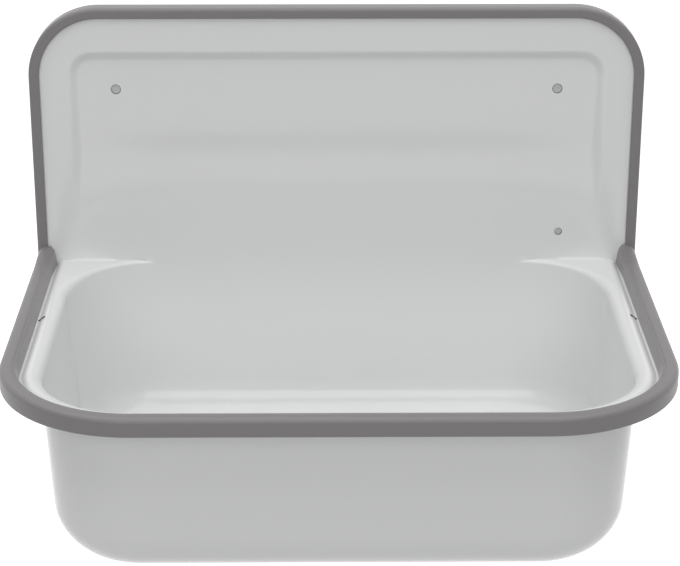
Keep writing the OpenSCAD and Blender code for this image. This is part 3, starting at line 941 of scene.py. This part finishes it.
# Materials
NOISE_DETAIL = 4
BUMP_DEPTH = 0.0003
SHEEN_ROUGH = 0.4
LEAST_ROUGH = 0.02
WHITE = (1, 1, 1, 1)


def node(tree, kind, **values):
    made = tree.nodes.new(kind)
    for name, value in values.items():
        setattr(made, name, value)
    return made


def plain(name, colour, rough, metal=0.0, bump=0.0, scale=200.0, vary=0.05, sheen=0.0):
    """A material with a little procedural unevenness in its gloss and its surface."""
    mat = bpy.data.materials.new(name)
    mat.use_nodes = True
    tree = mat.node_tree
    shader = tree.nodes["Principled BSDF"]
    shader.inputs["Base Color"].default_value = (*colour, 1)
    shader.inputs["Metallic"].default_value = metal
    shader.inputs["Sheen Weight"].default_value = sheen
    shader.inputs["Sheen Roughness"].default_value = SHEEN_ROUGH
    where = node(tree, "ShaderNodeNewGeometry")
    noise = node(tree, "ShaderNodeTexNoise")
    noise.inputs["Scale"].default_value = scale
    noise.inputs["Detail"].default_value = NOISE_DETAIL
    tree.links.new(where.outputs["Position"], noise.inputs["Vector"])
    span = node(tree, "ShaderNodeMapRange")
    span.inputs["To Min"].default_value = max(rough - vary, LEAST_ROUGH)
    span.inputs["To Max"].default_value = rough + vary
    tree.links.new(noise.outputs["Fac"], span.inputs["Value"])
    tree.links.new(span.outputs["Result"], shader.inputs["Roughness"])
    if bump:
        relief = node(tree, "ShaderNodeBump")
        relief.inputs["Strength"].default_value = bump
        relief.inputs["Distance"].default_value = BUMP_DEPTH
        tree.links.new(noise.outputs["Fac"], relief.inputs["Height"])
        tree.links.new(relief.outputs["Normal"], shader.inputs["Normal"])
    return mat


def dress(name, mat):
    """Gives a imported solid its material."""
    obj = frame["nodes"][name]
    obj.data.materials.clear()
    obj.data.materials.append(mat)


# Stage, in metres but for the wall's patches
GROUND_Z = -0.80
GROUND_HALF = 8.0
GROUND_GLOW = 0.87
PATCH_HALF_MM = 12.0
# painted light: the glow of the wall patches behind the holes
PATCH_PAINTED_LIGHT = 0.15
SKY_LIGHT = 0.22
SKY_SEEN = 1.0


def seen(tree):
    """1 for rays from the camera, and for those that gloss and glass pass on."""
    path = node(tree, "ShaderNodeLightPath")
    total = path.outputs["Is Camera Ray"]
    for kind in ("Is Glossy Ray", "Is Transmission Ray"):
        most = node(tree, "ShaderNodeMath", operation="MAXIMUM")
        tree.links.new(total, most.inputs[0])
        tree.links.new(path.outputs[kind], most.inputs[1])
        total = most.outputs[0]
    return total


def front_only(mat):
    """Lets light and sight pass through the back of a stage piece."""
    tree = mat.node_tree
    shader = tree.nodes["Principled BSDF"]
    out = tree.nodes["Material Output"]
    side = node(tree, "ShaderNodeNewGeometry")
    clear = node(tree, "ShaderNodeBsdfTransparent")
    mix = node(tree, "ShaderNodeMixShader")
    tree.links.new(side.outputs["Backfacing"], mix.inputs[0])
    tree.links.new(shader.outputs[0], mix.inputs[1])
    tree.links.new(clear.outputs[0], mix.inputs[2])
    tree.links.new(mix.outputs[0], out.inputs["Surface"])


def flat_piece(name, corners, mat):
    """A stage piece of one flat face."""
    mesh = bpy.data.meshes.new(name)
    mesh.from_pydata(corners, [], [tuple(range(len(corners)))])
    mesh.materials.append(mat)
    obj = bpy.data.objects.new(name, mesh)
    scene.collection.objects.link(obj)
    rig.stage(obj)
    return obj


def ground():
    """A pale floor that is white to the camera where no shadow lies."""
    mat = plain("floor", (0.6, 0.6, 0.6), rough=0.7)
    tree = mat.node_tree
    glow = node(tree, "ShaderNodeMath", operation="MULTIPLY")
    glow.inputs[1].default_value = GROUND_GLOW
    tree.links.new(seen(tree), glow.inputs[0])
    shader = tree.nodes["Principled BSDF"]
    shader.inputs["Emission Color"].default_value = WHITE
    tree.links.new(glow.outputs[0], shader.inputs["Emission Strength"])
    front_only(mat)
    corners = [(x * GROUND_HALF, y * GROUND_HALF, GROUND_Z) for x, y in ((-1, -1), (1, -1), (1, 1), (-1, 1))]
    flat_piece("floor", corners, mat)


def wall_behind_holes():
    """A small patch of the wall behind each hole, which only the camera sees. Its grey with a small glow is painted
    light and shade: it stands for the dimly lit wall.
    """
    mat = plain("wall_patch", (0.55, 0.55, 0.55), rough=0.8)
    shader = mat.node_tree.nodes["Principled BSDF"]
    shader.inputs["Emission Color"].default_value = WHITE
    shader.inputs["Emission Strength"].default_value = PATCH_PAINTED_LIGHT
    front_only(mat)
    h = PATCH_HALF_MM
    for i, (x, z, _) in enumerate(WALL_HOLES):
        corners = [(x - h, 0, z - h), (x + h, 0, z - h), (x + h, 0, z + h), (x - h, 0, z + h)]
        patch = flat_piece(f"wall_patch_{i}", [tuple((np.array(c) + PLACE) * MM) for c in corners], mat)
        patch.visible_diffuse = False
        patch.visible_glossy = False
        patch.visible_shadow = False


def lamp(name, at, toward, size, power):
    """A rectangular lamp that looks at a point."""
    data = bpy.data.lights.new(name, "AREA")
    data.shape = "RECTANGLE"
    data.size, data.size_y = size
    data.energy = power
    obj = bpy.data.objects.new(name, data)
    obj.location = at
    obj.rotation_mode = "QUATERNION"
    obj.rotation_quaternion = (Vector(toward) - Vector(at)).to_track_quat("-Z", "Y")
    scene.collection.objects.link(obj)


def surround():
    """A world that looks white and lights the object softly."""
    world = bpy.data.worlds.new("world")
    scene.world = world
    world.use_nodes = True
    tree = world.node_tree
    level = node(tree, "ShaderNodeMapRange")
    level.inputs["To Min"].default_value = SKY_LIGHT
    level.inputs["To Max"].default_value = SKY_SEEN
    tree.links.new(seen(tree), level.inputs["Value"])
    background = tree.nodes["Background"]
    background.inputs["Color"].default_value = WHITE
    tree.links.new(level.outputs["Result"], background.inputs["Strength"])


# The scene itself
camera()
enamel = plain("enamel", (0.8, 0.81, 0.805), rough=0.1, vary=0.02, scale=30, bump=0.02)
# painted shade: near black for the wall holes' rings and the slit tongues
painted_shade = plain("painted_shade", (0.09, 0.095, 0.105), rough=0.35, vary=0.08, scale=600)
trim = plain("trim", (0.212, 0.2, 0.206), rough=0.42, vary=0.05, scale=900, bump=0.15, sheen=0.3)
steel = plain("steel", (0.6, 0.6, 0.6), rough=0.25, metal=1.0, bump=0.05)
rubber = plain("seal_rubber", (0.02, 0.02, 0.02), rough=0.7, bump=0.3)
plastic = plain("waste_plastic", (0.75, 0.75, 0.74), rough=0.35, bump=0.1)
brass = plain("brass", (0.7, 0.5, 0.2), rough=0.3, metal=1.0, bump=0.05)
dress("strainer", steel)
dress("strainer_screw", steel)
dress("strainer_seal", rubber)
dress("waste_seal", rubber)
dress("waste_body", plastic)
dress("waste_insert", brass)
pressing(enamel)
hole_edges(painted_shade)
slit_lips(painted_shade)
rim_trim(trim)
splash_trim(trim)
ground()
wall_behind_holes()
lamp("key", at=(-0.2, -3.2, 1.3), toward=(0, -0.15, -0.05), size=(3.4, 1.8), power=31)
lamp("top", at=(-0.1, -0.3, 2.4), toward=(0, -0.1, 0), size=(4.4, 3.0), power=63)
surround()
scene.view_settings.view_transform = "Standard"

lo1, hi1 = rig.bounds()
with open("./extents.json", "w") as out:
    json.dump({"frame": [list(lo0), list(hi0)], "shown": [list(lo1), list(hi1)]}, out)
